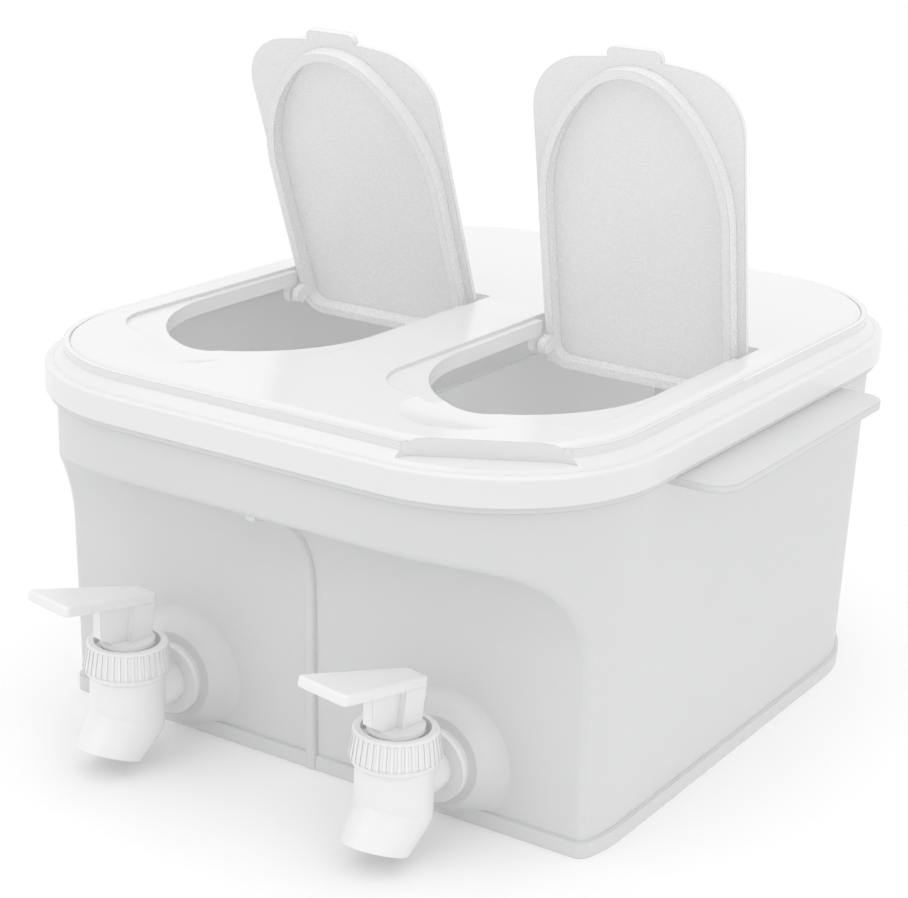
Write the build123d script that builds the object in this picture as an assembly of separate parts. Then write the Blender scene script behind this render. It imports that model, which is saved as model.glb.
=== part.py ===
from build123d import *
import math
import os

os.makedirs("parts", exist_ok=True)

# Drink dispenser for a fridge shelf, in millimetres. It stands on z = 0 with its taps towards -Y.
# X = 0 lies between the two compartments and Y = 0 is the middle of the lid.

# Lid outline in plan, which the tank follows
lid_width = 225.0
lid_depth = 281.0
lid_corner = 61.2

# Tank moulding
tank_draft = 1.04
foot_inset = 6.05
tank_wall = 2.0
floor_thickness = 2.4
divider_thickness = 2.0
divider_height = 116.0
recess_depth = 37.25
recess_lean = 2.75
brow_height = 100.4
cove_radius = 36.8
brow_edge_radius = 3.1
rib_width = 4.0
rib_rise = 2.0
foot_band_height = 5.5
foot_band_rise = 1.5
bead_rise = 2.6
bead_height = 2.1
skirt_seat = 121.0
rim_gap = 0.3

# Grip wings under the bead
wing_reach = 129.0
wing_front = -65.0
wing_back = 60.0
wing_corner = 9.0
wing_thickness = 1.6
wing_lip = 2.4
wing_top = 118.8

# Main lid
lid_wall = 2.0
skirt_height = 9.2
skirt_roll = 1.0
dome_step = 3.0
dome_inset = 9.6
deck_rise = 7.1
deck_edge_radius = 4.0
locating_gap = 0.4
locating_depth = 9.0

# Fill openings, one over each compartment
bay_offset = 54.0
opening_half_width = 37.2
opening_tip = -94.6
opening_back = 25.5
opening_shoulder = 51.5
opening_tip_radius = 24.0
collar_wall = 1.8
collar_depth = 4.3
seat_depth = 1.0
seat_gap = 0.8
hollow_radius = 18.5
hollow_centre = -101.0
hollow_depth = 2.0

# Thumb hollow at the lid's front right corner
thumb_x = 81.0
thumb_y = -127.0
thumb_length = 58.0
thumb_width = 17.0
thumb_turn = 31.0
thumb_floor = 131.6

# Flip lids
plate_half_width = 39.5
plate_back = 21.0
plate_tip = -96.2
plate_shoulder = 22.0
plate_tip_radius = 150.0
plate_thickness = 2.4
plate_gap = 0.3
plate_edge = 0.8
plate_back_edge = 2.0
tab_half_width = 10.0
tab_reach = 3.3
tab_corner = 2.5
ridge_gap = 0.8
ridge_wall = 3.2
ridge_depth = 5.1
ridge_back = 19.5
ridge_corner = 8.0
hinge_y = 10.0
hinge_drop = 8.6
hinge_pin_radius = 1.5
hinge_ear_radius = 2.8
hinge_running_gap = 0.08
lug_radius = 3.2
lug_thickness = 2.8
lug_front = 3.2
lug_back = 2.0
left_lid_angle = 68.0
right_lid_angle = 78.6

# Tap body, about the barrel's upright axis
tap_height = 21.5
boss_rise = 7.0
boss_radius = 13.4
boss_foot_radius = 25.0
boss_sink = 0.15
boss_inside_radius = 14.5
boss_inside_rise = 3.5
washer_thickness = 1.8
washer_radius = 12.2
flange_radius = 12.4
flange_thickness = 2.0
barrel_reach = 20.0
barrel_radius = 12.5
barrel_wall = 3.5
barrel_rise = 9.9
neck_radius = 10.7
neck_height = 2.0
shank_radius = 7.5
shank_bore = 3.6
shank_collar_radius = 8.0
shank_gap = 0.15
nut_flats = 22.0
nut_thickness = 6.0
shank_tail = 2.0
elbow_drop = 6.0
spout_tilt = 46.0
spout_length = 14.5
spout_taper = 8.0
spout_wall = 2.1
mouth_tilt = 22.0
valve_seat_height = 16.2
valve_seat_thickness = 1.8
valve_seat_radius = 5.2

# Tap collar
collar_height = 11.6
collar_radius = 14.9
collar_top_radius = 13.6
collar_bead_radius = 13.9
collar_bead_height = 2.0
collar_bore = 11.0
collar_web = 1.6
collar_edge = 0.8
collar_ribs = 40
rib_groove = 1.1
rib_groove_depth = 0.25
thread_gap = 0.2

# Lever, turned a little on the barrel as its collar is screwed home
lever_turn = 10.5
pivot_reach = 5.0
pivot_rise = 3.6
pivot_pin_radius = 1.5
pivot_running_gap = 0.08
pivot_hole_depth = 11.9
pivot_pin_end = 11.6
hub_radius = 2.8
hub_half_width = 7.2
cheek_gap = 4.7
cheek_back = 6.2
toe_radius = 1.2
toe_inner = 2.7
toe_gap = 0.3
cap_radius = 9.2
cap_overlap = 0.8
cap_thickness = 1.6
post_half_width = 4.3
post_back = 8.6
web_half_width = 2.0
web_front = 12.5
web_relief = 3.0
web_step = 1.2
paddle_back = 9.1
paddle_front = 32.2
paddle_height = 15.4
paddle_slope = 10.8
paddle_thickness = 3.7
paddle_back_half_width = 4.8
paddle_front_half_width = 10.7
paddle_corner = 1.8
paddle_edge = 0.9

# Stem, seal and spring
stem_radius = 2.2
stem_hole_gap = 0.4
stem_flange_radius = 5.4
stem_flange_thickness = 1.2
stem_head_radius = 4.2
stem_head_thickness = 1.5
seal_radius = 6.6
seal_thickness = 3.0
seal_gap = 0.3
seal_recess = 1.8
seal_grip = 0.05
spring_radius = 4.0
spring_wire = 0.45
spring_turns = 5
spring_gap = 0.2

# Heights and depths that follow from the sizes above
skirt_top = skirt_seat + skirt_height
tank_height = skirt_top - lid_wall - rim_gap
deck_top = skirt_top + deck_rise
deck_under = deck_top - lid_wall
seat_floor = deck_top - seat_depth
hinge_z = seat_floor + plate_gap - hinge_drop
lean_slope = math.tan(math.radians(recess_lean))
draft_slope = math.tan(math.radians(tank_draft))
recess_foot_y = foot_inset - lid_depth / 2 + recess_depth
boss_wall_y = recess_foot_y - lean_slope * tap_height
boss_face_y = boss_wall_y - boss_rise
boss_inside_y = boss_wall_y + tank_wall + boss_inside_rise
barrel_y = boss_face_y - washer_thickness - flange_thickness - barrel_reach
elbow_z = tap_height - elbow_drop
barrel_top = tap_height + barrel_rise
neck_top = barrel_top + neck_height
collar_web_under = neck_top + thread_gap
collar_web_top = collar_web_under + collar_web
collar_top = barrel_top + collar_height
pivot_z = collar_web_top + pivot_rise
seal_under = valve_seat_height + seal_gap
seal_top = seal_under + seal_thickness
stem_flange_top = seal_top + stem_flange_thickness
stem_head_under = pivot_z + toe_gap
cap_under = collar_top - cap_overlap
cap_top = cap_under + cap_thickness


def plan(inset):
    """Lid outline in plan, drawn in by inset all round."""
    return RectangleRounded(lid_width - 2 * inset, lid_depth - 2 * inset, lid_corner - inset)


def tub(inset, bottom, top):
    """Drafted tub between two heights. inset is where its side stands at z = 0."""
    foot = plan(inset - bottom * draft_slope)
    return Pos(0, 0, bottom) * extrude(foot, top - bottom, taper=-tank_draft)


def brow_side(back):
    """Open space below the brow seen from the side, with its faces moved back into the tank."""
    upright_y = recess_foot_y + back / math.cos(math.radians(recess_lean))
    ceiling = brow_height + back
    depth = tank_height
    points = [
        (upright_y + lean_slope * depth, -depth),
        (upright_y - lean_slope * ceiling, ceiling),
        (-lid_depth, ceiling),
        (-lid_depth, -depth),
    ]
    side = make_face(Polyline(*points, close=True))
    inner_corner = side.vertices().group_by(Axis.Y)[-1].sort_by(Axis.X)[-1]
    return fillet(inner_corner, cove_radius + back)


def under_brow(back):
    """Open space below the brow, from side to side."""
    return extrude(Plane.YZ * brow_side(back), lid_width, both=True)


def tank_skin():
    """Outside of the tank: drafted tub, cut away below the brow, with the long edge rounded."""
    skin = tub(foot_inset, 0, tank_height) - under_brow(0)
    cove = skin.faces().filter_by(GeomType.CYLINDER)
    upright = skin.faces().filter_by(GeomType.PLANE).filter_by(lambda f: f.normal_at().Y < -0.9)
    upright = upright.sort_by(Axis.Z)[0]
    meeting = cove.edges() + upright.edges()
    long_edge = [e for e in meeting if e.geom_type != GeomType.LINE or e.center().Z > brow_height - bead_height]
    return fillet(long_edge, brow_edge_radius)


def foot_band():
    """Low band round the foot, standing out from the wall."""
    foot = plan(foot_inset) - Pos(0, recess_foot_y - lid_depth) * Rectangle(2 * lid_width, 2 * lid_depth)
    front_corners = foot.vertices().group_by(Axis.Y)[0]
    foot = fillet(front_corners, brow_edge_radius)
    return extrude(offset(foot, foot_band_rise), foot_band_height)


def middle_rib():
    """Upright rib on the tap wall, which follows the cove out to the brow's edge."""
    layer = extrude(Plane.YZ * (brow_side(0) - brow_side(-rib_rise)), rib_width / 2, both=True)
    rib = layer & tub(foot_inset + brow_edge_radius, 0, brow_height)
    front = under_brow(-rib_rise)
    side_edges = rib.edges().filter_by(lambda e: abs((e @ 0.5).X) > rib_width / 4)
    crest = side_edges.filter_by(lambda e: front.distance_to(Vertex(e @ 0.5)) < rib_rise / 8)
    return fillet(crest, rib_width / 4)


def bead():
    """Bead round the tank that the lid's skirt rests on."""
    ring = plan(foot_inset - skirt_seat * draft_slope - bead_rise)
    return Pos(0, 0, skirt_seat - bead_height) * extrude(ring, bead_height)


def wing(side):
    """Flat grip with a turned-down lip, on one side of the tank."""
    inner = lid_width / 2 - lid_corner / 2
    width = wing_reach - inner
    centre = Pos(side * (inner + width / 2), (wing_front + wing_back) / 2)
    blank = centre * Rectangle(width, wing_back - wing_front)
    outer_corners = blank.vertices().sort_by(Axis.X)[-2:] if side > 0 else blank.vertices().sort_by(Axis.X)[:2]
    blank = fillet(outer_corners, wing_corner)
    flange = Pos(0, 0, wing_top - wing_lip) * extrude(blank, wing_lip)
    pocket = Pos(0, 0, wing_top - wing_lip) * extrude(offset(blank, -wing_thickness), wing_lip - wing_thickness)
    return flange - pocket


def boss(side):
    """Soft dome that carries a tap, blended into the leaning wall and cut flat for the washer."""
    crown = -boss_rise - 2 * boss_radius * lean_slope
    slope = Spline((boss_radius, crown), (boss_foot_radius, boss_sink), tangents=[(1, 0.5), (1, 0)])
    rest = Polyline((boss_foot_radius, boss_sink), (boss_foot_radius, tank_wall), (0, tank_wall), (0, crown),
                    (boss_radius, crown))
    dome = revolve(make_face([slope, rest]), Axis.Y)
    dome = Pos(side * bay_offset, boss_wall_y, tap_height) * Rot(recess_lean, 0, 0) * dome
    span = 4 * boss_foot_radius
    beyond = Box(span, span, span, align=(Align.CENTER, Align.MAX, Align.CENTER))
    below = Box(span, span, span, align=(Align.CENTER, Align.CENTER, Align.MAX))
    return dome - Pos(side * bay_offset, boss_face_y, 0) * beyond - Pos(side * bay_offset, boss_wall_y, 0) * below


def along_y(radius, start, end):
    """Round bar along Y between two depths."""
    return Pos(0, (start + end) / 2, 0) * Rot(90, 0, 0) * Cylinder(radius, end - start)


def tank_hollow():
    """Inside of the tank, with the divider and the flats behind the tap bosses left standing."""
    hollow = tub(foot_inset + tank_wall, floor_thickness, tank_height + tank_wall) - under_brow(tank_wall)
    hollow -= Pos(0, 0, divider_height / 2) * Box(divider_thickness, 2 * lid_depth, divider_height)
    for side in (-1, 1):
        flat = along_y(boss_inside_radius, boss_face_y, boss_inside_y)
        hollow -= Pos(side * bay_offset, 0, tap_height) * flat
    return hollow


def tank():
    """Whole tank moulding."""
    body = tank_skin() + foot_band() + middle_rib() + bead()
    for side in (-1, 1):
        body += wing(side)
        body += boss(side)
    body -= tank_hollow()
    for side in (-1, 1):
        hole = along_y(shank_radius + shank_gap, boss_face_y - boss_rise, boss_inside_y + boss_rise)
        body -= Pos(side * bay_offset, 0, tap_height) * hole
    return body


def arch(half_width, back, tip, shoulder, tip_radius):
    """Straight-sided outline with a square back and a rounded front made of three tangent arcs."""
    spring = tip + shoulder
    centre = tip + tip_radius
    side_radius = (half_width**2 + shoulder**2 - 2 * tip_radius * shoulder) / (2 * (half_width - tip_radius))
    side_x = half_width - side_radius
    ratio = side_radius / (side_radius - tip_radius)
    touch = (side_x - side_x * ratio, spring + (centre - spring) * ratio)
    swing = math.atan2(touch[1] - spring, touch[0] - side_x) / 2
    middle = (side_x + side_radius * math.cos(swing), spring + side_radius * math.sin(swing))
    right = ThreePointArc((half_width, spring), middle, touch)
    front = ThreePointArc(touch, (0, tip), (-touch[0], touch[1]))
    left = ThreePointArc((-touch[0], touch[1]), (-middle[0], middle[1]), (-half_width, spring))
    sides = Polyline((-half_width, spring), (-half_width, back), (half_width, back), (half_width, spring))
    return make_face([right, front, left, sides])


def opening_plan():
    """Fill opening in plan, with the wider part that the plate's back end dips through."""
    mouth = arch(opening_half_width, opening_back, opening_tip, opening_shoulder, opening_tip_radius)
    slot_front = hinge_y + lug_back
    slot = Pos(0, (slot_front + opening_back) / 2) * Rectangle(
        2 * (plate_half_width + seat_gap), opening_back - slot_front)
    return mouth + slot


def plate_plan():
    """Flip lid's plate in plan, without its tab."""
    return arch(plate_half_width, plate_back, plate_tip, plate_shoulder, plate_tip_radius)


def tab_plan():
    """Pull tab in plan."""
    tab = Pos(0, plate_tip) * Rectangle(2 * tab_half_width, 2 * tab_reach)
    return fillet(tab.vertices().group_by(Axis.Y)[0], tab_corner)


def lid_form(wall):
    """Skirt and domed deck of the lid, drawn in by a wall for the hollow beneath."""
    skirt = Pos(0, 0, skirt_seat) * extrude(plan(wall), skirt_height - wall)
    dome_angle = math.degrees(math.atan((dome_inset - dome_step) / deck_rise))
    dome = Pos(0, 0, skirt_top - wall) * extrude(plan(dome_step + wall), deck_rise, taper=dome_angle)
    if wall == 0:
        skirt = fillet(skirt.edges().group_by(Axis.Z)[-1], skirt_roll)
        dome = fillet(dome.edges().group_by(Axis.Z)[-1], deck_edge_radius)
    return skirt + dome


def locating_wall():
    """Wall under the deck that drops just inside the tank's rim."""
    inset = foot_inset - tank_height * draft_slope + tank_wall + locating_gap
    ring = plan(inset) - plan(inset + lid_wall)
    return Pos(0, 0, deck_under - locating_depth) * extrude(ring, locating_depth + lid_wall / 2)


def hinge_lug():
    """Lug that hangs from the deck beside the opening, with the pin's hole, on the +X side."""
    height = deck_under - hinge_z + lid_wall / 2
    neck_depth = lug_front + lug_back
    eye = Circle(lug_radius)
    neck = Pos((lug_back - lug_front) / 2, height / 2) * Rectangle(neck_depth, height)
    hole = Circle(hinge_pin_radius + hinge_running_gap)
    lug = extrude(Plane.YZ * (eye + neck - hole), lug_thickness)
    return Pos(opening_half_width, hinge_y, hinge_z) * lug


def thumb_hollow(wall):
    """Long hollow at the dome's front right corner, grown by a wall for the shell that backs it."""
    slot = SlotOverall(thumb_length + 2 * wall, thumb_width + 2 * wall)
    hollow = extrude(slot, deck_top - thumb_floor + wall)
    return Pos(thumb_x, thumb_y, thumb_floor - wall) * Rot(0, 0, thumb_turn) * hollow


def main_lid():
    """Lid moulding over the whole tank."""
    outside = lid_form(0)
    lid = outside - lid_form(lid_wall) + locating_wall()
    lid += thumb_hollow(lid_wall) & outside
    opening = opening_plan()
    collar = Pos(0, 0, deck_under - collar_depth) * extrude(offset(opening, collar_wall), collar_depth + seat_depth / 2)
    cut = Pos(0, 0, deck_under - 2 * collar_depth) * extrude(opening, 4 * collar_depth)
    seat = Pos(0, 0, seat_floor) * extrude(offset(plate_plan(), seat_gap), seat_depth * 2)
    bowl_radius = (hollow_radius**2 + hollow_depth**2) / (2 * hollow_depth)
    bowl = Pos(0, hollow_centre, deck_top - hollow_depth + bowl_radius) * Sphere(bowl_radius)
    backing_radius = bowl_radius + lid_wall
    backing = Pos(0, hollow_centre, deck_top - hollow_depth + bowl_radius) * Sphere(backing_radius)
    inside = Pos(0, 0, deck_under - deck_rise / 2) * Box(lid_width, lid_depth, deck_rise)
    backing = backing & inside
    lugs = hinge_lug() + mirror(hinge_lug(), Plane.YZ)
    for side in (-1, 1):
        bay = Pos(side * bay_offset, 0, 0)
        lid += bay * collar
        lid += bay * backing
        lid -= bay * seat
        lid -= bay * bowl
        lid -= bay * cut
        lid += bay * lugs
    return lid - thumb_hollow(0)


def flip_lid():
    """Flip lid, closed, with its pin line on the X axis."""
    under = hinge_drop
    plate = extrude(plate_plan(), plate_thickness)
    plate = fillet(plate.edges().group_by(Axis.Z)[-1].group_by(Axis.Y)[-1], plate_back_edge)
    top_edges = plate.edges().group_by(Axis.Z)[-1]
    plate = fillet(top_edges.filter_by(lambda e: e.center().Y < plate_back - plate_back_edge), plate_edge)
    plate += extrude(tab_plan(), plate_thickness)
    rib_plan = arch(opening_half_width - ridge_gap, ridge_back, opening_tip + ridge_gap, opening_shoulder,
                    opening_tip_radius)
    rib_plan = fillet(rib_plan.vertices().group_by(Axis.Y)[-1], ridge_corner)
    ridge = extrude(rib_plan - offset(rib_plan, -ridge_wall), -ridge_depth)
    lid = Pos(0, -hinge_y, under) * (plate + ridge)
    ear_plan = Circle(hinge_ear_radius) + Pos(0, under / 2) * Rectangle(2 * hinge_ear_radius, under)
    ear = extrude(Plane.YZ * ear_plan, ridge_wall)
    ear = Pos(opening_half_width - ridge_gap - ridge_wall, 0, 0) * ear
    pin_end = opening_half_width + lug_thickness - lid_wall / 5
    pin_start = opening_half_width - ridge_gap - ridge_wall
    pin = Pos((pin_start + pin_end) / 2, 0, 0) * Rot(0, 90, 0) * Cylinder(hinge_pin_radius, pin_end - pin_start)
    ear += pin
    return lid + ear + mirror(ear, Plane.YZ)


def placed_flip_lid(side, angle):
    """Flip lid on its hinge, opened by an angle."""
    return Pos(side * bay_offset, hinge_y, hinge_z) * Rot(-angle, 0, 0) * flip_lid()


def spout_form(radius, length):
    """Round elbow with a tapered spout, tangent to its ball."""
    taper = math.radians(spout_taper)
    start = radius * math.sin(taper)
    start_radius = radius * math.cos(taper)
    end_radius = start_radius - (length - start) * math.tan(taper)
    profile = Polyline((0, start), (start_radius, start), (end_radius, length), (0, length), close=True)
    cone = revolve(Plane.XZ * make_face(profile), Axis.Z)
    cone = Rot(180 - spout_tilt, 0, 0) * cone
    return cone + Sphere(radius)


def tap_body():
    """Shank, barrel and spout in one moulding, on the barrel's axis."""
    flange_back = barrel_reach + flange_thickness
    tail = boss_inside_y - barrel_y + washer_thickness + nut_thickness + shank_tail
    bore = barrel_radius - barrel_wall
    bend = Pos(0, 0, elbow_z)
    long_spout = spout_length + barrel_radius
    body = bend * spout_form(barrel_radius, long_spout)
    body += Pos(0, 0, (elbow_z + barrel_top) / 2) * Cylinder(barrel_radius, barrel_top - elbow_z)
    body += Pos(0, 0, (elbow_z + neck_top) / 2) * Cylinder(neck_radius, neck_top - elbow_z)
    level = Pos(0, 0, tap_height)
    body += level * along_y(shank_collar_radius, bore + barrel_wall / 4, barrel_reach)
    body += level * along_y(flange_radius, barrel_reach, flange_back)
    body += level * along_y(shank_radius, barrel_reach, tail)
    waterway = bend * spout_form(barrel_radius - spout_wall, long_spout)
    seat_under = valve_seat_height - valve_seat_thickness
    waterway -= Pos(0, 0, seat_under + barrel_radius) * Box(4 * barrel_radius, 6 * barrel_radius, 2 * barrel_radius)
    body -= waterway
    body -= Pos(0, 0, valve_seat_height) * Cylinder(
        bore, neck_height + neck_top - valve_seat_height, align=(Align.CENTER, Align.CENTER, Align.MIN))
    body -= Pos(0, 0, valve_seat_height) * Cylinder(valve_seat_radius, 4 * valve_seat_thickness)
    body -= level * along_y(shank_bore, 0, tail + shank_tail)
    tilt = math.radians(spout_tilt)
    mouth = Pos(0, -spout_length * math.sin(tilt), elbow_z - spout_length * math.cos(tilt))
    beyond = Box(6 * barrel_radius, 6 * barrel_radius, 2 * barrel_radius, align=(Align.CENTER, Align.CENTER, Align.MAX))
    return body - mouth * Rot(-mouth_tilt, 0, 0) * beyond


def tap_collar():
    """Ribbed collar that closes the barrel and holds the lever's pins."""
    height = collar_height
    profile = Polyline(
        (neck_radius + thread_gap, 0), (collar_bead_radius - collar_edge, 0), (collar_bead_radius, collar_edge),
        (collar_bead_radius, collar_bead_height), (collar_radius - collar_edge, collar_bead_height),
        (collar_radius, collar_bead_height + collar_edge),
        (collar_top_radius, height - collar_edge), (collar_top_radius - collar_edge, height),
        (collar_bore, height), (collar_bore, collar_web_top - barrel_top),
        (stem_radius + stem_hole_gap, collar_web_top - barrel_top),
        (stem_radius + stem_hole_gap, collar_web_under - barrel_top),
        (neck_radius + thread_gap, collar_web_under - barrel_top), close=True)
    ring = revolve(Plane.XZ * make_face(profile), Axis.Z)
    groove_height = height - collar_bead_height - 2 * collar_edge
    groove = Rot(0, math.degrees(-math.atan((collar_radius - collar_top_radius) / groove_height)), 0) * Box(
        2 * rib_groove_depth, rib_groove, groove_height)
    groove_middle = collar_bead_height + collar_edge + groove_height / 2
    groove = Pos((collar_radius + collar_top_radius) / 2, 0, groove_middle) * groove
    ring -= PolarLocations(0, collar_ribs) * groove
    pin_hole = Rot(0, 90, 0) * Cylinder(pivot_pin_radius + pivot_running_gap, 2 * pivot_hole_depth)
    ring -= Pos(0, -pivot_reach, pivot_z - barrel_top) * pin_hole
    return Pos(0, 0, barrel_top) * ring


def lever_base():
    """Round cap with two cheeks, the pivot pins and the toe pegs that lift the stem."""
    rise = cap_under - pivot_z
    cheek_plan = Circle(hub_radius) + Pos(cheek_back / 2, rise / 2) * Rectangle(cheek_back, rise)
    cheek_plan += Pos(cheek_back - toe_radius, -toe_radius) * Circle(toe_radius)
    cheek_plan += Pos(cheek_back / 2, -toe_radius) * Rectangle(cheek_back - 2 * toe_radius, 2 * toe_radius)
    cheek = Pos(cheek_gap, 0, 0) * extrude(Plane.YZ * cheek_plan, hub_half_width - cheek_gap)
    pin = Pos((hub_half_width + pivot_pin_end) / 2, 0, 0) * Rot(0, 90, 0) * Cylinder(
        pivot_pin_radius, pivot_pin_end - hub_half_width)
    peg = Pos((toe_inner + cheek_gap) / 2, cheek_back - toe_radius, -toe_radius) * Rot(0, 90, 0) * Cylinder(
        toe_radius, cheek_gap - toe_inner)
    half = cheek + pin + peg
    cap = Pos(0, pivot_reach, rise) * Cylinder(
        cap_radius, cap_thickness, align=(Align.CENTER, Align.CENTER, Align.MIN))
    return Pos(0, -pivot_reach, pivot_z) * (half + mirror(half, Plane.YZ) + cap)


def paddle():
    """Tapered press plate, sloping up to its free end."""
    length = (paddle_back + paddle_front) / math.cos(math.radians(paddle_slope))
    points = [
        (-paddle_back_half_width, 0),
        (paddle_back_half_width, 0),
        (paddle_front_half_width, -length),
        (-paddle_front_half_width, -length),
    ]
    blank = fillet(make_face(Polyline(*points, close=True)).vertices(), paddle_corner)
    plate = extrude(blank, -paddle_thickness)
    plate = fillet(plate.edges().group_by(Axis.Z)[-1] + plate.edges().group_by(Axis.Z)[0], paddle_edge)
    return Pos(0, paddle_back, collar_top + paddle_height) * Rot(-paddle_slope, 0, 0) * plate


def lever():
    """Press lever: paddle, post and base in one moulding, on the barrel's axis."""
    slope = math.tan(math.radians(paddle_slope))
    plate_z = collar_top + paddle_height - paddle_thickness / 2
    back_z = plate_z
    front_z = plate_z + slope * (paddle_back + web_front)
    middle_z = plate_z + slope * paddle_back
    sill = (cap_under + cap_top) / 2
    back_post = Polyline(
        (post_back - paddle_corner, sill), (post_back, back_z), (0, middle_z), (-web_half_width, sill), close=True)
    web = Polyline(
        (0, sill), (0, middle_z), (-web_front, front_z), (-web_front, cap_top + web_relief),
        (-cap_radius, cap_top + web_step), (web_step - cap_radius, sill), close=True)
    block = extrude(Plane.YZ * make_face(back_post), post_half_width, both=True)
    rib = extrude(Plane.YZ * make_face(web), web_half_width, both=True)
    return lever_base() + block + rib + paddle()


def stem():
    """Stem with the flange that the spring presses and the head that the toe lifts."""
    profile = Polyline(
        (0, seal_top - seal_recess), (stem_radius, seal_top - seal_recess), (stem_radius, seal_top),
        (stem_flange_radius, seal_top), (stem_flange_radius, stem_flange_top), (stem_radius, stem_flange_top),
        (stem_radius, stem_head_under), (stem_head_radius, stem_head_under),
        (stem_head_radius, stem_head_under + stem_head_thickness), (0, stem_head_under + stem_head_thickness),
        close=True)
    return revolve(Plane.XZ * make_face(profile), Axis.Z)


def seal():
    """Soft disc that shuts the valve seat."""
    disc = Cylinder(seal_radius, seal_thickness, align=(Align.CENTER, Align.CENTER, Align.MIN))
    recess = Cylinder(stem_radius + seal_grip, 2 * seal_recess)
    return Pos(0, 0, seal_under) * (disc - Pos(0, 0, seal_thickness) * recess)


def spring():
    """Return spring between the stem's flange and the collar's web."""
    low = stem_flange_top + spring_gap + spring_wire
    high = collar_web_under - spring_gap - spring_wire
    path = Helix((high - low) / spring_turns, high - low, spring_radius)
    wire = sweep(Plane(path @ 0, z_dir=path % 0) * RegularPolygon(spring_wire, 6), path)
    return Pos(0, 0, low) * wire


def washer():
    """Sealing washer round the shank."""
    return Rot(-90, 0, 0) * extrude(Circle(washer_radius) - Circle(shank_radius + shank_gap), washer_thickness)


def nut():
    """Lock nut on the shank inside the tank."""
    across = nut_flats / math.sqrt(3)
    hexagon = RegularPolygon(across, 6) - Circle(shank_radius + shank_gap)
    return Rot(-90, 0, 0) * extrude(hexagon, nut_thickness)


nodes = {
    "tank": tank(),
    "main_lid": main_lid(),
    "flip_lid_left": placed_flip_lid(-1, left_lid_angle),
    "flip_lid_right": placed_flip_lid(1, right_lid_angle),
}
tap_pieces = {
    "tap_body": tap_body(),
    "tap_collar": Rot(0, 0, -lever_turn) * tap_collar(),
    "tap_lever": Rot(0, 0, -lever_turn) * lever(),
    "tap_stem": stem(),
    "tap_seal": seal(),
    "tap_spring": spring(),
}
wall_pieces = {
    "tap_washer_outer": Pos(0, boss_face_y - washer_thickness, 0) * washer(),
    "tap_washer_inner": Pos(0, boss_inside_y, 0) * washer(),
    "tap_nut": Pos(0, boss_inside_y + washer_thickness, 0) * nut(),
}
for side, name in ((-1, "left"), (1, "right")):
    for piece, solid in tap_pieces.items():
        nodes[piece + "_" + name] = Pos(side * bay_offset, barrel_y, 0) * solid
    for piece, solid in wall_pieces.items():
        nodes[piece + "_" + name] = Pos(side * bay_offset, 0, tap_height) * solid

for name, solid in nodes.items():
    export_step(solid, "parts/" + name + ".step")
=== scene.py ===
import bpy
import math
from mathutils import Matrix, Vector


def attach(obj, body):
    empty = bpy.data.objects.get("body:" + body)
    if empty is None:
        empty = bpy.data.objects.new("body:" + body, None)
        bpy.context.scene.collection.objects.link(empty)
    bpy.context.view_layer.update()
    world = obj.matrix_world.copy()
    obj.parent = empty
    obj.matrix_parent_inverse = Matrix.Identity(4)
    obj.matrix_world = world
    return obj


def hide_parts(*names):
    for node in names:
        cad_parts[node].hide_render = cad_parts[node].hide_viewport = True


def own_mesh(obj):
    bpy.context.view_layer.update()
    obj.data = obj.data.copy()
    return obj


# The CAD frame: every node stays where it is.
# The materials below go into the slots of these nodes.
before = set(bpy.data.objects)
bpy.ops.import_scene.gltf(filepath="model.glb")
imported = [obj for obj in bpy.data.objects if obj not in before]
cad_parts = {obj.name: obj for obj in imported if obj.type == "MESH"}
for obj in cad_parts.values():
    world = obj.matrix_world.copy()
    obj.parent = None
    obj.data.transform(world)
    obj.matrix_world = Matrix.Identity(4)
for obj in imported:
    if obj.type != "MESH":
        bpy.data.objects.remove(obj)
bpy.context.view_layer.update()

# Camera, at the photograph's view: front right, a little above, with a long lens and a slight roll.
# The spot it looks from and its turn come from fitting the outlines of the tank and the lid.
camera_data = bpy.data.cameras.new("camera")
camera_data.sensor_width = 36.0
camera_data.lens = 87.12
camera_data.clip_start = 0.01
camera_data.clip_end = 20.0
camera = bpy.data.objects.new("camera", camera_data)
bpy.context.scene.collection.objects.link(camera)
camera_x = 0.39308
camera_y = -0.63957
camera_z = 0.33464
turn = math.radians(32.261)
tilt = math.radians(18.222)
roll = math.radians(2.364)
back = Vector((math.sin(turn) * math.cos(tilt), -math.cos(turn) * math.cos(tilt), math.sin(tilt)))
level_right = Vector((math.cos(turn), math.sin(turn), 0.0))
level_up = back.cross(level_right)
right = level_right * math.cos(roll) + level_up * math.sin(roll)
up = level_up * math.cos(roll) - level_right * math.sin(roll)
camera.matrix_world = Matrix((
    (right.x, up.x, back.x, camera_x),
    (right.y, up.y, back.y, camera_y),
    (right.z, up.z, back.z, camera_z),
    (0.0, 0.0, 0.0, 1.0),
))
bpy.context.scene.camera = camera

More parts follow.
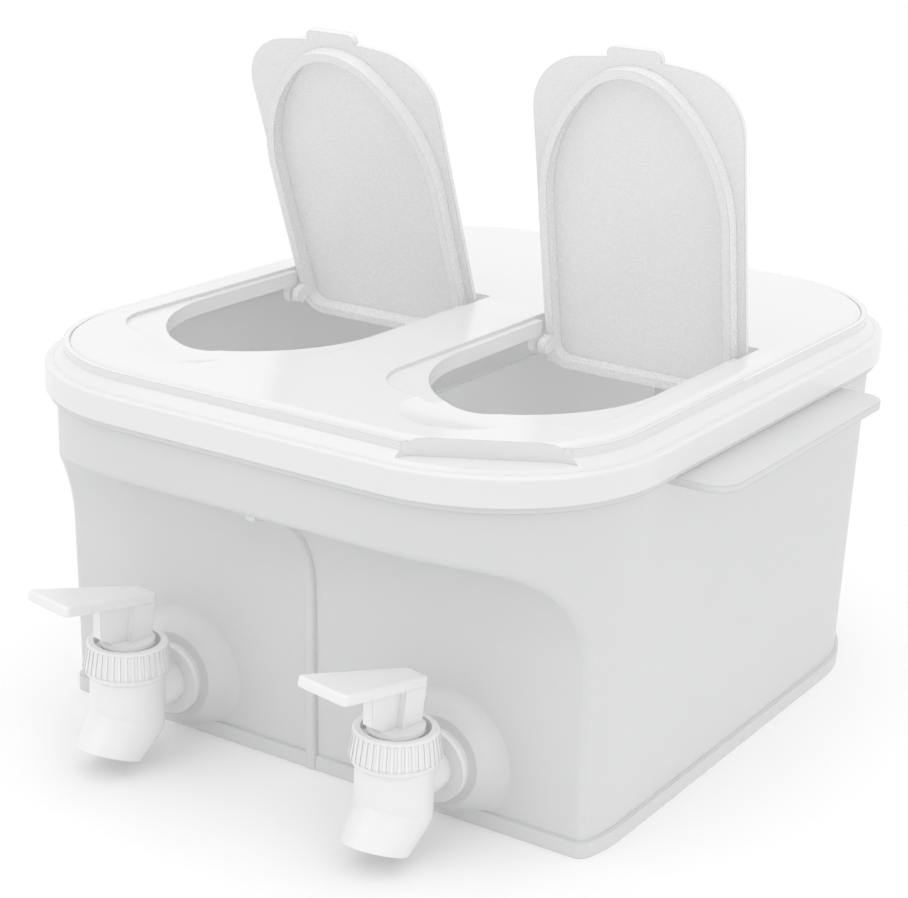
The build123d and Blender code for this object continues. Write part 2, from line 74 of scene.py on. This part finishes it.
# Floor: a pale sheet just below the foot, which keeps the soft shadow under the tank.
# It thins out with distance, so it shows as a disc with no edge against the white surround.
floor_reach = 1.0
floor_z = -0.0006
solid_within = 0.16
gone_beyond = 0.34
floor_mesh = bpy.data.meshes.new("floor")
floor_mesh.from_pydata([
    (-floor_reach, -floor_reach, floor_z),
    (floor_reach, -floor_reach, floor_z),
    (floor_reach, floor_reach, floor_z),
    (-floor_reach, floor_reach, floor_z),
], [], [(0, 1, 2, 3)])
floor = bpy.data.objects.new("floor", floor_mesh)
bpy.context.scene.collection.objects.link(floor)
floor_material = bpy.data.materials.new("floor")
floor_material.use_nodes = True
nodes = floor_material.node_tree.nodes
links = floor_material.node_tree.links
floor_shader = nodes["Principled BSDF"]
floor_shader.inputs["Roughness"].default_value = 0.95
floor_shader.inputs["Specular IOR Level"].default_value = 0.1
floor_shader.inputs["Base Color"].default_value = (0.97, 0.97, 0.97, 1)
spot = nodes.new("ShaderNodeTexCoord")
reach = nodes.new("ShaderNodeVectorMath")
reach.operation = "LENGTH"
links.new(spot.outputs["Object"], reach.inputs[0])
thin = nodes.new("ShaderNodeMapRange")
thin.interpolation_type = "SMOOTHSTEP"
thin.inputs["From Min"].default_value = solid_within
thin.inputs["From Max"].default_value = gone_beyond
links.new(reach.outputs["Value"], thin.inputs["Value"])
clear = nodes.new("ShaderNodeBsdfTransparent")
fade = nodes.new("ShaderNodeMixShader")
links.new(thin.outputs["Result"], fade.inputs["Fac"])
links.new(floor_shader.outputs[0], fade.inputs[1])
links.new(clear.outputs[0], fade.inputs[2])
links.new(fade.outputs[0], nodes["Material Output"].inputs["Surface"])
floor_mesh.materials.append(floor_material)

# Light: a bright even surround, and soft panels over the front left, on the right and overhead.
# The surround is plain white where the camera, a polish or clear plastic looks straight at it.
world = bpy.data.worlds.new("world")
bpy.context.scene.world = world
world.use_nodes = True
nodes = world.node_tree.nodes
links = world.node_tree.links
ambient = nodes["Background"]
ambient.inputs["Color"].default_value = (1.0, 1.0, 1.0, 1.0)
ambient.inputs["Strength"].default_value = 0.95
white = nodes.new("ShaderNodeBackground")
white.inputs["Color"].default_value = (1.0, 1.0, 1.0, 1.0)
white.inputs["Strength"].default_value = 1.0
path = nodes.new("ShaderNodeLightPath")
seen = nodes.new("ShaderNodeMath")
seen.operation = "MAXIMUM"
links.new(path.outputs["Is Camera Ray"], seen.inputs[0])
links.new(path.outputs["Is Transmission Ray"], seen.inputs[1])
mirrored = nodes.new("ShaderNodeMath")
mirrored.operation = "MAXIMUM"
links.new(seen.outputs[0], mirrored.inputs[0])
links.new(path.outputs["Is Glossy Ray"], mirrored.inputs[1])
choose = nodes.new("ShaderNodeMixShader")
links.new(mirrored.outputs[0], choose.inputs["Fac"])
links.new(ambient.outputs[0], choose.inputs[1])
links.new(white.outputs[0], choose.inputs[2])
links.new(choose.outputs[0], nodes["World Output"].inputs["Surface"])
aim = Vector((0.0, 0.0, 0.08))
for name, hangs_at, width, watts in (
    ("key_panel", (-0.7, -1.2, 1.5), 1.4, 4.6),
    ("side_panel", (1.5, -0.5, 1.0), 1.2, 2.6),
    ("top_panel", (0.1, 0.2, 1.7), 1.2, 3.0),
):
    panel_data = bpy.data.lights.new(name, "AREA")
    panel_data.shape = "SQUARE"
    panel_data.size = width
    panel_data.energy = watts
    panel = bpy.data.objects.new(name, panel_data)
    bpy.context.scene.collection.objects.link(panel)
    panel.location = hangs_at
    panel.rotation_euler = (aim - Vector(hangs_at)).to_track_quat("-Z", "Y").to_euler()
bpy.context.scene.view_settings.view_transform = "Standard"

# Tank: one moulding of frosted plastic, matt outside, with the brow, the foot band and both wings.
# Daylight soaks through its thin walls, which keeps its inside pale where the open lids show it.
# The surface group and the plastic below are first needed here, and the other pieces share them.
surface = bpy.data.node_groups.new("moulded_surface", "ShaderNodeTree")
surface.interface.new_socket("Colour", in_out="INPUT", socket_type="NodeSocketColor")
for socket_name in ("Drift", "Roughness", "Grain Scale", "Grain Depth", "Edge Radius", "Edge Wear"):
    surface.interface.new_socket(socket_name, in_out="INPUT", socket_type="NodeSocketFloat")
surface.interface.new_socket("Colour", in_out="OUTPUT", socket_type="NodeSocketColor")
surface.interface.new_socket("Roughness", in_out="OUTPUT", socket_type="NodeSocketFloat")
surface.interface.new_socket("Normal", in_out="OUTPUT", socket_type="NodeSocketVector")
nodes = surface.nodes
links = surface.links
given = nodes.new("NodeGroupInput")
result = nodes.new("NodeGroupOutput")
cloud_scale = 14.0
noise_detail = 3.0
worn_facing = 0.8
rough_spread = 0.10
grain_height = 0.0002

# Two noises on Object coordinates, so they stay on the piece: a soft cloud and a fine grain.
place = nodes.new("ShaderNodeTexCoord")
cloud = nodes.new("ShaderNodeTexNoise")
cloud.inputs["Scale"].default_value = cloud_scale
cloud.inputs["Detail"].default_value = noise_detail
links.new(place.outputs["Object"], cloud.inputs["Vector"])
fine = nodes.new("ShaderNodeTexNoise")
fine.inputs["Detail"].default_value = noise_detail
links.new(place.outputs["Object"], fine.inputs["Vector"])
links.new(given.outputs["Grain Scale"], fine.inputs["Scale"])

# Edges are rounded, and worn where the rounded normal turns away from the flat one.
rounded = nodes.new("ShaderNodeBevel")
rounded.samples = 2
links.new(given.outputs["Edge Radius"], rounded.inputs["Radius"])
flat = nodes.new("ShaderNodeNewGeometry")
facing = nodes.new("ShaderNodeVectorMath")
facing.operation = "DOT_PRODUCT"
links.new(rounded.outputs["Normal"], facing.inputs[0])
links.new(flat.outputs["Normal"], facing.inputs[1])
edge = nodes.new("ShaderNodeMapRange")
edge.inputs["From Min"].default_value = 1.0
edge.inputs["From Max"].default_value = worn_facing
links.new(facing.outputs["Value"], edge.inputs["Value"])
worn = nodes.new("ShaderNodeMath")
worn.operation = "MULTIPLY"
links.new(edge.outputs["Result"], worn.inputs[0])
links.new(given.outputs["Edge Wear"], worn.inputs[1])

# The colour drifts with the cloud and lightens on worn edges.
centred = nodes.new("ShaderNodeMath")
centred.operation = "SUBTRACT"
centred.inputs[1].default_value = 0.5
links.new(cloud.outputs["Fac"], centred.inputs[0])
drift = nodes.new("ShaderNodeMath")
drift.operation = "MULTIPLY_ADD"
links.new(centred.outputs[0], drift.inputs[0])
links.new(given.outputs["Drift"], drift.inputs[1])
links.new(worn.outputs[0], drift.inputs[2])
level = nodes.new("ShaderNodeMath")
level.operation = "ADD"
level.inputs[1].default_value = 1.0
links.new(drift.outputs[0], level.inputs[0])
tint = nodes.new("ShaderNodeVectorMath")
tint.operation = "SCALE"
links.new(given.outputs["Colour"], tint.inputs[0])
links.new(level.outputs[0], tint.inputs["Scale"])
links.new(tint.outputs["Vector"], result.inputs["Colour"])

# The grain spreads the roughness and, as a bump, roughens the rounded normal.
rough = nodes.new("ShaderNodeMath")
rough.operation = "MULTIPLY_ADD"
rough.inputs[1].default_value = rough_spread
links.new(fine.outputs["Fac"], rough.inputs[0])
links.new(given.outputs["Roughness"], rough.inputs[2])
matt = nodes.new("ShaderNodeMath")
matt.operation = "ADD"
links.new(rough.outputs[0], matt.inputs[0])
links.new(worn.outputs[0], matt.inputs[1])
links.new(matt.outputs[0], result.inputs["Roughness"])
bumps = nodes.new("ShaderNodeBump")
bumps.inputs["Distance"].default_value = grain_height
links.new(given.outputs["Grain Depth"], bumps.inputs["Strength"])
links.new(fine.outputs["Fac"], bumps.inputs["Height"])
links.new(rounded.outputs["Normal"], bumps.inputs["Normal"])
links.new(bumps.outputs["Normal"], result.inputs["Normal"])


def moulded(name, colour, drift, roughness, grain_scale, grain_depth, edge_radius, edge_wear,
            glow=0.0):
    """A material with the moulded surface. glow is the share of daylight each face lets through."""
    material = bpy.data.materials.new(name)
    material.use_nodes = True
    nodes = material.node_tree.nodes
    links = material.node_tree.links
    shader = nodes["Principled BSDF"]
    group = nodes.new("ShaderNodeGroup")
    group.node_tree = surface
    group.inputs["Colour"].default_value = colour
    group.inputs["Drift"].default_value = drift
    group.inputs["Roughness"].default_value = roughness
    group.inputs["Grain Scale"].default_value = grain_scale
    group.inputs["Grain Depth"].default_value = grain_depth
    group.inputs["Edge Radius"].default_value = edge_radius
    group.inputs["Edge Wear"].default_value = edge_wear
    links.new(group.outputs["Colour"], shader.inputs["Base Color"])
    links.new(group.outputs["Roughness"], shader.inputs["Roughness"])
    links.new(group.outputs["Normal"], shader.inputs["Normal"])
    if glow:
        ray = nodes.new("ShaderNodeLightPath")
        daylight = nodes.new("ShaderNodeMath")
        daylight.operation = "MAXIMUM"
        links.new(ray.outputs["Is Shadow Ray"], daylight.inputs[0])
        links.new(ray.outputs["Is Diffuse Ray"], daylight.inputs[1])
        share = nodes.new("ShaderNodeMath")
        share.operation = "MULTIPLY"
        share.inputs[1].default_value = glow
        links.new(daylight.outputs[0], share.inputs[0])
        soak = nodes.new("ShaderNodeBsdfTransparent")
        mix = nodes.new("ShaderNodeMixShader")
        links.new(share.outputs[0], mix.inputs["Fac"])
        links.new(shader.outputs[0], mix.inputs[1])
        links.new(soak.outputs[0], mix.inputs[2])
        links.new(mix.outputs[0], nodes["Material Output"].inputs["Surface"])
    return material


tank_plastic = moulded(
    "tank_plastic", colour=(0.68, 0.682, 0.685, 1), drift=0.05, roughness=0.36,
    grain_scale=1400.0, grain_depth=0.05, edge_radius=0.0006, edge_wear=0.05, glow=0.88)
tank_plastic.node_tree.nodes["Principled BSDF"].inputs["IOR"].default_value = 1.45
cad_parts["tank"].data.materials.clear()
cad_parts["tank"].data.materials.append(tank_plastic)

# Main lid: one moulding of glossy white plastic that rests over the tank's rim and lifts off.
# Its polish leaves a clear highlight along the rolled edge.
lid_plastic = moulded(
    "lid_plastic", colour=(0.785, 0.785, 0.788, 1), drift=0.02, roughness=0.16,
    grain_scale=1100.0, grain_depth=0.006, edge_radius=0.0005, edge_wear=0.03, glow=0.6)
lid_plastic.node_tree.nodes["Principled BSDF"].inputs["Coat Weight"].default_value = 0.25
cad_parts["main_lid"].data.materials.clear()
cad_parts["main_lid"].data.materials.append(lid_plastic)

# Flip lids: plate, pull tab and sealing rib in one moulding each, of a slightly softer white plastic.
# Two pins hold each one in the hinge lugs under the main lid, so each opens by itself.
flip_plastic = moulded(
    "flip_plastic", colour=(0.81, 0.81, 0.813, 1), drift=0.02, roughness=0.22,
    grain_scale=1100.0, grain_depth=0.003, edge_radius=0.0005, edge_wear=0.03, glow=0.6)
flip_plastic.node_tree.nodes["Principled BSDF"].inputs["Coat Weight"].default_value = 0.15
for side in ("left", "right"):
    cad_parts["flip_lid_" + side].data.materials.clear()
    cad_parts["flip_lid_" + side].data.materials.append(flip_plastic)

# Taps: body, collar, lever, stem and lock nut, each a small moulding of satin white plastic.
# The body's shank goes through the tank's wall, and the lock nut holds it from inside.
tap_plastic = moulded(
    "tap_plastic", colour=(0.84, 0.84, 0.843, 1), drift=0.02, roughness=0.26,
    grain_scale=1400.0, grain_depth=0.03, edge_radius=0.0003, edge_wear=0.03, glow=0.5)
for side in ("left", "right"):
    for piece in ("tap_body", "tap_collar", "tap_lever", "tap_stem", "tap_nut"):
        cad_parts[piece + "_" + side].data.materials.clear()
        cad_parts[piece + "_" + side].data.materials.append(tap_plastic)

# Seals and washers: soft pale rubber, duller than the plastic, squeezed between the hard pieces.
# Only the outer washers show, as a thin ring between tap and tank.
seal_rubber = moulded(
    "seal_rubber", colour=(0.74, 0.74, 0.73, 1), drift=0.04, roughness=0.6,
    grain_scale=1200.0, grain_depth=0.2, edge_radius=0.0002, edge_wear=0.0)
for side in ("left", "right"):
    for piece in ("tap_seal", "tap_washer_outer", "tap_washer_inner"):
        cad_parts[piece + "_" + side].data.materials.clear()
        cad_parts[piece + "_" + side].data.materials.append(seal_rubber)

# Springs: round drawn wire in five turns between the stem's flange and the collar's web.
# Each rides on its stem and moves with it as one rigid coil; the real one shortens as the lever lifts
# it, so its top stays under the web.
spring_wire = moulded(
    "spring_wire", colour=(0.62, 0.62, 0.64, 1), drift=0.04, roughness=0.25,
    grain_scale=1500.0, grain_depth=0.1, edge_radius=0.0001, edge_wear=0.0)
spring_wire.node_tree.nodes["Principled BSDF"].inputs["Metallic"].default_value = 1.0
tap_offset = 0.054
barrel_y = -0.12903
coil_radius = 0.004
wire_radius = 0.00045
coil_bottom = 0.0209
coil_top = 0.0334
turns = 5
steps_per_turn = 28
steps = steps_per_turn * turns
sides = 8
low_z = coil_bottom + wire_radius
high_z = coil_top - wire_radius
for side, centre_x in (("left", -tap_offset), ("right", tap_offset)):
    corners = []
    for step in range(steps + 1):
        angle = 2 * math.pi * turns * step / steps
        outward = Vector((math.cos(angle), math.sin(angle), 0.0))
        middle = Vector((centre_x, barrel_y, low_z + (high_z - low_z) * step / steps))
        middle = middle + outward * coil_radius
        for corner in range(sides):
            around = 2 * math.pi * corner / sides
            rise = Vector((0.0, 0.0, wire_radius * math.sin(around)))
            corners.append(middle + outward * wire_radius * math.cos(around) + rise)
    faces = []
    for step in range(steps):
        for corner in range(sides):
            ahead = (corner + 1) % sides
            faces.append((step * sides + corner, (step + 1) * sides + corner,
                          (step + 1) * sides + ahead, step * sides + ahead))
    faces.append(tuple(range(sides)))
    faces.append(tuple(reversed(range(steps * sides, (steps + 1) * sides))))
    coil_mesh = bpy.data.meshes.new("spring_coil_" + side)
    coil_mesh.from_pydata(corners, [], faces)
    coil_mesh.polygons.foreach_set("use_smooth", [True] * len(coil_mesh.polygons))
    coil_mesh.materials.append(spring_wire)
    coil = bpy.data.objects.new("spring_coil_" + side, coil_mesh)
    bpy.context.scene.collection.objects.link(coil)
    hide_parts("tap_spring_" + side)
    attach(coil, "stem_" + side)
    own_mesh(coil)
